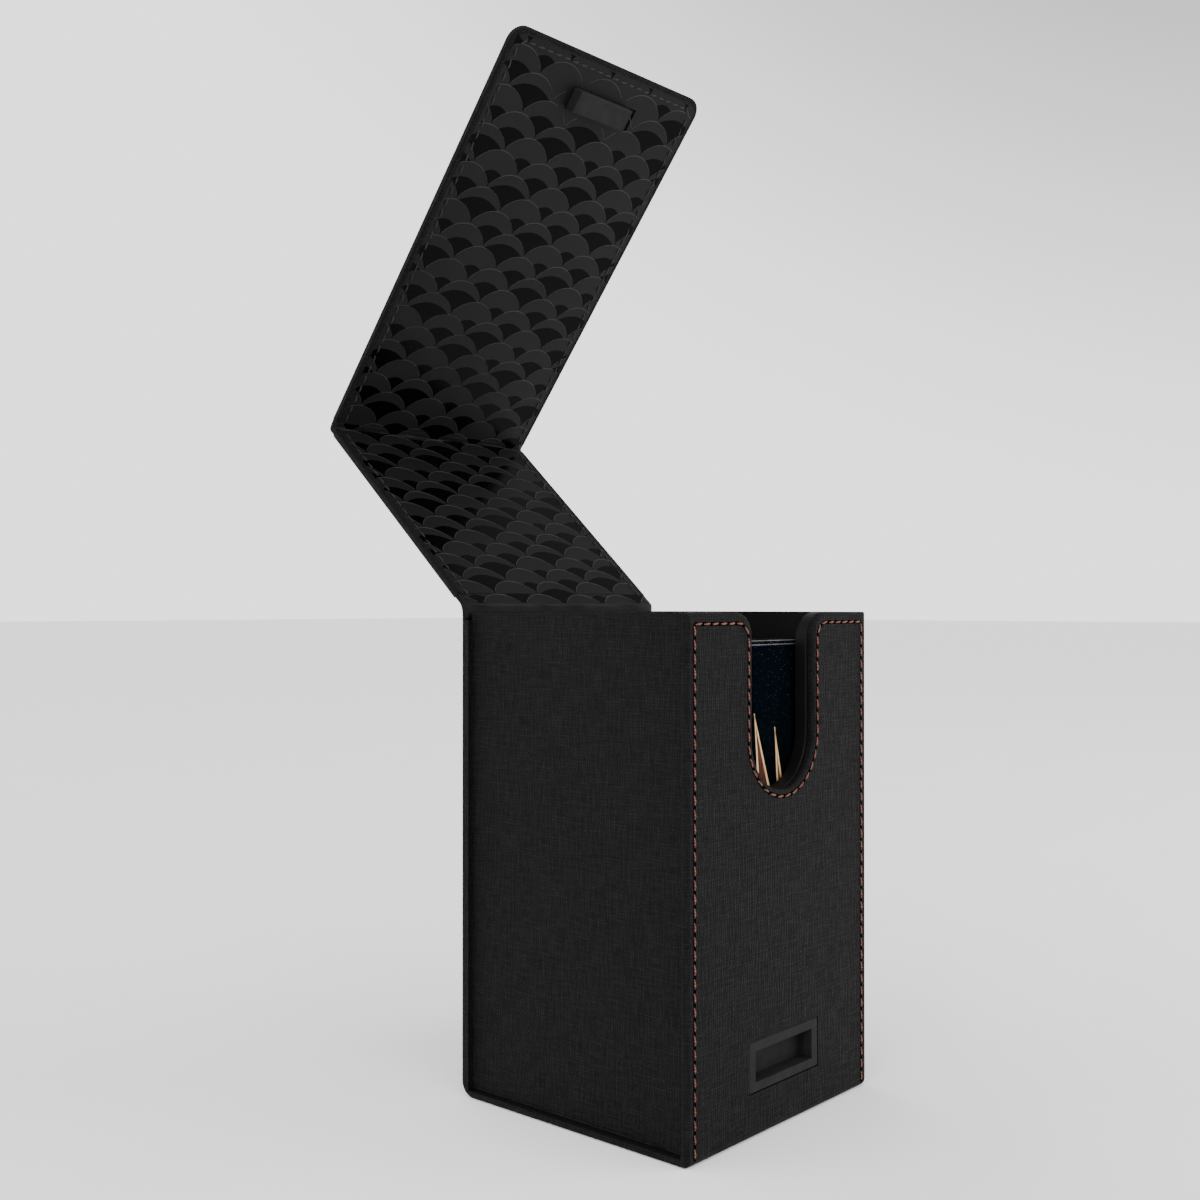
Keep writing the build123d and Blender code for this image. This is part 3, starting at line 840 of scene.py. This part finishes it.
def slot_shadow_sheet():
    """Black sheet over the steel plate where the slot in the flap's lining shows it: a painted shadow for the dark
    slot.
    """
    plate = max(FLAP.inward.dot(point - FLAP.start) for point in vertices_mm("catch_plate"))
    top = Surface(FLAP_INSIDE.at(0, 0, plate - LINING_DEPTH + SHADOW_SHEET_GAP), FLAP.along)
    low, high = min(plug_ends), max(plug_ends)
    points, faces = [], []
    for u0, u1, v0, v1 in (
        (plug_high.x, SLOT_RIGHT, low - SLOT_GAP, high + SLOT_GAP),
        (SLOT_LEFT, plug_low.x, low - SLOT_GAP, high + SLOT_GAP),
        (plug_low.x, plug_high.x, high, high + SLOT_GAP),
        (plug_low.x, plug_high.x, low - SLOT_GAP, low),
    ):
        outline = [(u0, v0), (u1, v0), (u1, v1), (u0, v1)]
        add_patch(points, faces, top, outline, SHADOW_SHEET_LIFT)
    # Board-black sheet: painted shadow in the slot around the plug.
    make_mesh("slot_shadow_sheet", points, faces, [BOARD], "flap", smooth=False)


slot_shadow_sheet()
LID_FOLD = LID_REACH - 2.4  # where the lid's lining starts to bend at the fold
FLAP_FOLD = 2.8  # where the flap's lining is flat again
FOLD_CREASE = 0.25
REAR_CREASE = 0.4
REAR_FLAT = 4.2  # where the lid's lining is flat beyond the rear hinge
FLAP_MARGIN = 1.9
BEND_DEPTH = 1  # about half-way through a hinge skin
REAR_BEND_FOOT = back_high.z + 0.6
REAR_BEND_END = 4.0
FOLD_BEND = (("lid", "flap"), LID.at(LID_FOLD, BEND_DEPTH), FLAP.at(FLAP_FOLD, BEND_DEPTH))
REAR_BEND = (
    ("tub", "lid"), Vector((0, HINGE.y, REAR_BEND_FOOT)), LID.at(REAR_BEND_END, BEND_DEPTH)
)
scale_print("lid", LID_INSIDE, REAR_FLAT, LID_FOLD, "lid")
scale_print("flap", FLAP_INSIDE, FLAP_FOLD, FLAP_END - FLAP_MARGIN, "flap", hole=slot_hole)
scale_print("lid_crease", LID_INSIDE, LID_FOLD, LID_REACH - FOLD_CREASE, None, crease=FOLD_BEND)
scale_print("flap_crease", FLAP_INSIDE, FOLD_CREASE, FLAP_FOLD, None, crease=FOLD_BEND)
scale_print("rear_crease", LID_INSIDE, REAR_CREASE, REAR_FLAT, None, crease=REAR_BEND)


# ---------------------------------------------------------------- soft hinges

HINGE_COLUMNS = 64
HINGE_PINCH = 0.72  # thickness of a hinge skin at its ends, as a share of the middle's
HINGE_ROUND = 0.6
WAVE_COUNT = 7
WAVE_RATE, WAVE_PHASE, WAVE_SIZE = (0.15, 0.9), (0, 6.3), (0.01, 0.035)
WAVE_SHIFT = 0.35
WAVE_FADE = 1.02
LID_SKIN_END = LID_REACH - 2.6
FLAP_SKIN_END = 3.0
REAR_SKIN_FOOT = back_high.z - 0.3
REAR_SKIN_END = 5.0


def meet(a, a_dir, b, b_dir):
    """Where two lines in the plane x = 0 cross."""
    cross = a_dir.y * b_dir.z - a_dir.z * b_dir.y
    gap = b - a
    return a + a_dir * ((gap.y * b_dir.z - gap.z * b_dir.y) / cross)


def bend(start, corner, end, tight, steps=12):
    """Straight runs towards the corner, joined by a curve that begins tight short of it."""
    first = corner + (start - corner).normalized() * min(tight, (start - corner).length)
    last = corner + (end - corner).normalized() * min(tight, (end - corner).length)
    before = [start.lerp(first, share) for share in (0.0, 0.33, 0.66)]
    curve = []
    for i in range(steps + 1):
        t = i / steps
        curve.append(first * (1 - t) ** 2 + corner * 2 * t * (1 - t) + last * t * t)
    after = [last.lerp(end, share) for share in (0.33, 0.66, 1.0)]
    return before + curve + after


def soft_hinge(name, inner, outer, half, crease, replaced, leather):
    """A closed band of leatherette and lining with two side profiles, swept across the box."""
    profile = inner + outer[::-1]
    count = len(profile)
    ripple = random.Random(11)
    waves = [
        [ripple.uniform(*span) for span in (WAVE_RATE, WAVE_PHASE, WAVE_SIZE)]
        for _ in range(WAVE_COUNT)
    ]
    rings = []
    for column in range(HINGE_COLUMNS + 1):
        x = -half + 2 * half * column / HINGE_COLUMNS
        edge = min(half - abs(x), HINGE_ROUND) / HINGE_ROUND
        squeeze = HINGE_PINCH + (1 - HINGE_PINCH) * math.sqrt(max(edge, 0))
        ring = []
        for number, point in enumerate(profile):
            shift = number * WAVE_SHIFT
            depth = sum(size * math.sin(rate * x + phase + shift) for rate, phase, size in waves)
            side = number % len(inner) / len(inner)
            fade = math.sin(math.pi * min(side * WAVE_FADE, 1))
            centre = (point + profile[count - 1 - number]) / 2
            spread = point - centre
            outward = spread.normalized() if spread.length > 1e-6 else Vector()
            ring.append(centre + spread * squeeze + outward * depth * fade + Vector((x, 0, 0)))
        rings.append(ring)
    points, faces = [], []
    add_tube(points, faces, rings)
    band = [0 if number < len(inner) - 1 else 1 for number in range(count)]
    marks = band * HINGE_COLUMNS + [1, 1]
    made = make_mesh(name, points, faces, [CHARCOAL, leather], None, marks=marks)
    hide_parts(replaced)
    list(crease[0])
    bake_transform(made)


def fold_profile(off, tight):
    """Side profile of the fold between the lid and the flap, at a depth below the lining."""
    corner = meet(LID.at(0, off), LID.along, FLAP.at(0, off), FLAP.along)
    return bend(LID.at(LID_SKIN_END, off), corner, FLAP.at(FLAP_SKIN_END, off), tight)


def rear_profile(y, off, tight):
    """Side profile of the rear hinge, from the back panel at y to the lid at a depth."""
    corner = meet(Vector((0, y, 0)), UP, LID.at(0, off), LID.along)
    return bend(Vector((0, y, REAR_SKIN_FOOT)), corner, LID.at(REAR_SKIN_END, off), tight)


skin_half = lid_half - 0.1
fold_inner = fold_profile(off=0.03, tight=0.3)
fold_outer = fold_profile(off=1.7, tight=1.6)
soft_hinge(
    "fold_skin", fold_inner, fold_outer, skin_half, FOLD_BEND, "fold_hinge_strip", LID_LEATHER
)
rear_inner = rear_profile(HINGE.y - 0.85, off=0.05, tight=0.6)
rear_outer = rear_profile(back_high.y - 0.05, off=1.75, tight=2.2)
soft_hinge(
    "rear_skin", rear_inner, rear_outer, skin_half, REAR_BEND, "rear_hinge_strip", LEATHER
)


# ---------------------------------------------------------------- cards

SLEEVED_CARDS = 72
CARD_GAP = 0.07  # between one sleeve and the next
CARD_ROUND = 1.4
CARD_SHIFT = 0.28
CARD_SINK = 0.35
DECK_INSET = 0.3
DECK_START = 0.03
CORNER_ANGLES = (0.5, 1.0)  # radians up each rounded top corner
TONE_WEIGHTS = (0.8, 0.2)


def card_slabs():
    """The deck behind the front card: thin sleeves, each a hair out of line, the rearmost pale."""
    shuffle = random.Random(3)
    marks = []
    pitch = (deck_high.y - deck_low.y) / SLEEVED_CARDS
    points, faces = [], []
    for number in range(SLEEVED_CARDS):
        y0 = deck_low.y + pitch * number + DECK_START
        y1 = y0 + pitch - CARD_GAP
        shift = shuffle.uniform(-CARD_SHIFT, CARD_SHIFT)
        sink = shuffle.uniform(0.0, CARD_SINK)
        x0, x1 = deck_low.x + DECK_INSET + shift, deck_high.x - DECK_INSET + shift
        z0, z1 = deck_low.z, deck_high.z - sink
        left, right, level = x0 + CARD_ROUND, x1 - CARD_ROUND, z1 - CARD_ROUND
        turns = [
            (CARD_ROUND * math.cos(a), level + CARD_ROUND * math.sin(a)) for a in CORNER_ANGLES
        ]
        ring = [(x0, z0), (x1, z0), (x1, level)]
        ring += [(right + dx, z) for dx, z in turns]
        ring += [(right, z1), (left, z1)]
        ring += [(left - dx, z) for dx, z in reversed(turns)]
        ring += [(x0, level)]
        add_tube(points, faces, [[(x, y, z) for x, z in ring] for y in (y0, y1)])
        rearmost = number == SLEEVED_CARDS - 1
        drawn = (DARK_EDGES, GREY_EDGES)
        tone = PALE_EDGES if rearmost else shuffle.choices(drawn, TONE_WEIGHTS)[0]
        marks += [tone] * (len(ring) + 2)
    made = make_mesh(
        "sleeved_deck", points, faces, EDGES, "deck", smooth=False, marks=marks
    )
    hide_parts("card_stack")


card_slabs()

CARD_FACE = Surface((0, card_low.y, 0), UP)
ART_FOOT = card_low.z + 9
EDGE_STEPS = 8
GOLD_LEAST, GOLD_SWELL = 0.06, 0.95
GOLD_LIFT, CORE_LIFT = 0.03, 0.01
CORE_SHARE = 0.42  # of the spire's width, each side of its middle
CORE_FALLS = (0.06, 0.5, 1)


def card_art():
    """Generic line art on the front card: slender gold-edged spires with rust-coloured cores."""
    scatter = random.Random(19)
    # Each spire is its tip's x and z, its lean, and how fast it widens downwards.
    spires = [(-3.3, 105.6, 0.22, 0.26), (6.0, 101.6, 0.155, 0.17)]
    for tip_x in (-24, -15.5, 17, 25):
        tip_z = scatter.uniform(68, 84)
        spires.append((tip_x, tip_z, -0.012 * tip_x + scatter.uniform(-0.04, 0.04), 0.16))
    gold_points, gold_faces, core_points, core_faces = [], [], [], []
    for tip_x, tip_z, lean, widening in spires:
        drop = tip_z - ART_FOOT
        for side in (-1, 1):
            edge, inner = [], []
            for i in range(EDGE_STEPS + 1):
                t = i / EDGE_STEPS
                u = tip_x + drop * t * (lean + side * widening * 0.5 * (1 + 0.25 * t))
                swell = math.sin(math.pi * min(1, (i + 0.2) / (EDGE_STEPS + 1))) ** 0.7
                edge.append((u, tip_z - drop * t))
                inner.append((u - side * (GOLD_LEAST + GOLD_SWELL * swell), tip_z - drop * t))
            add_patch(gold_points, gold_faces, CARD_FACE, edge + inner[::-1], GOLD_LIFT)
        core = []
        for side, falls in ((-1, CORE_FALLS), (1, CORE_FALLS[::-1])):
            slope = lean + side * widening * CORE_SHARE
            core += [(tip_x + drop * t * slope, tip_z - drop * t) for t in falls]
        add_patch(core_points, core_faces, CARD_FACE, core, CORE_LIFT)
    for name, points, faces, ink in (
        ("card_art_gold", gold_points, gold_faces, GOLD),
        ("card_art_core", core_points, core_faces, RUST),
    ):
        make_mesh(name, points, faces, [ink], "sleeved_card", smooth=False)


card_art()

RIM_STEPS = 24
RIM_DROP = 0.22
RIM_HEIGHT = 0.2
RIM_LIFT = 0.03


def sleeve_mouth():
    """The two welded rims at the open top of the front card's sleeve."""
    front = (sleeve_low.y, sleeve_high.z - 0.9, 32.4, 0.25)
    rear = (sleeve_high.y, sleeve_high.z, 31.6, 0.1)
    points, faces = [], []
    for y, z, half, sag in (front, rear):
        lower = []
        for i in range(RIM_STEPS + 1):
            u = -half + 2 * half * i / RIM_STEPS
            lower.append((u, z - RIM_DROP - sag * (1 - (u / half) ** 2)))
        upper = [(u, v + RIM_HEIGHT) for u, v in lower]
        add_patch(points, faces, Surface((0, y, 0), UP), lower + upper[::-1], RIM_LIFT)
    rim = [EDGES[PALE_EDGES]]
    make_mesh("sleeve_mouth", points, faces, rim, "sleeved_card", smooth=False)


sleeve_mouth()


# ---------------------------------------------------------------- stage, light and camera

FLOOR_HALF = 12.0  # metres, like the rest of this section


def stage_floor():
    mesh = bpy.data.meshes.new("floor")
    corners = [(x * FLOOR_HALF, y * FLOOR_HALF, 0) for x, y in ((-1, -1), (1, -1), (1, 1), (-1, 1))]
    mesh.from_pydata(corners, [], [(0, 1, 2, 3)])
    s = Shader("floor")
    position, _ = s.place()
    grain = s.noise(position, scale=0.02)
    pale = s.ramp(grain, (0.3, grey(0.95)), (0.7, grey(0.97)))
    mesh.materials.append(s.finish(Base_Color=pale, Roughness=0.9, Specular_IOR_Level=0.1))
    floor = bpy.data.objects.new("floor", mesh)
    bpy.context.scene.collection.objects.link(floor)


def aim(obj, direction):
    obj.rotation_mode = "QUATERNION"
    obj.rotation_quaternion = direction.to_track_quat("-Z", "Y")


def soft_light(name, place, size, power):
    """A square light at a place, aimed at the middle of the box."""
    data = bpy.data.lights.new(name, "AREA")
    data.shape = "RECTANGLE"
    data.size = data.size_y = size
    data.energy = power
    lamp = bpy.data.objects.new(name, data)
    bpy.context.scene.collection.objects.link(lamp)
    lamp.location = place
    aim(lamp, Vector((0, 0, 0.12)) - Vector(place))


def studio_world():
    """Bright white surroundings with one darker patch high on the right, for the gloss to show."""
    world = bpy.data.worlds.new("studio")
    world.use_nodes = True
    sky = world.node_tree
    direction = sky.nodes.new("ShaderNodeTexCoord").outputs["Generated"]
    toward = sky.nodes.new("ShaderNodeVectorMath")
    toward.operation = "DOT_PRODUCT"
    sky.links.new(direction, toward.inputs[0])
    toward.inputs[1].default_value = Vector((0.62, 0.05, 0.78)).normalized()
    shade = sky.nodes.new("ShaderNodeMapRange")
    shade.interpolation_type = "SMOOTHSTEP"
    sky.links.new(toward.outputs["Value"], shade.inputs["Value"])
    limits = {"From Min": 0.62, "From Max": 0.97, "To Min": 2.1, "To Max": 0.5}
    for key, value in limits.items():
        shade.inputs[key].default_value = value
    background = sky.nodes["Background"]
    background.inputs["Color"].default_value = (1, 1, 1, 1)
    sky.links.new(shade.outputs["Result"], background.inputs["Strength"])
    bpy.context.scene.world = world


stage_floor()
studio_world()
soft_light("key", (0.9, -1.1, 0.9), size=0.9, power=9)
soft_light("fill", (-1.2, -0.5, 0.6), size=0.8, power=5)

CAMERA_PLACE = (-0.30492, -0.24485, 0.13342)
CAMERA_AZIMUTH = math.radians(-48.578)
CAMERA_ELEVATION = math.radians(-0.268)
camera_data = bpy.data.cameras.new("camera")
camera_data.sensor_width = 36
camera_data.lens = 42.39
camera_data.clip_start, camera_data.clip_end = 0.01, 50
camera = bpy.data.objects.new("camera", camera_data)
bpy.context.scene.collection.objects.link(camera)
camera.location = CAMERA_PLACE
level = math.cos(CAMERA_ELEVATION)
aim(camera, Vector((
    -math.sin(CAMERA_AZIMUTH) * level, math.cos(CAMERA_AZIMUTH) * level, -math.sin(CAMERA_ELEVATION)
)))
bpy.context.scene.camera = camera
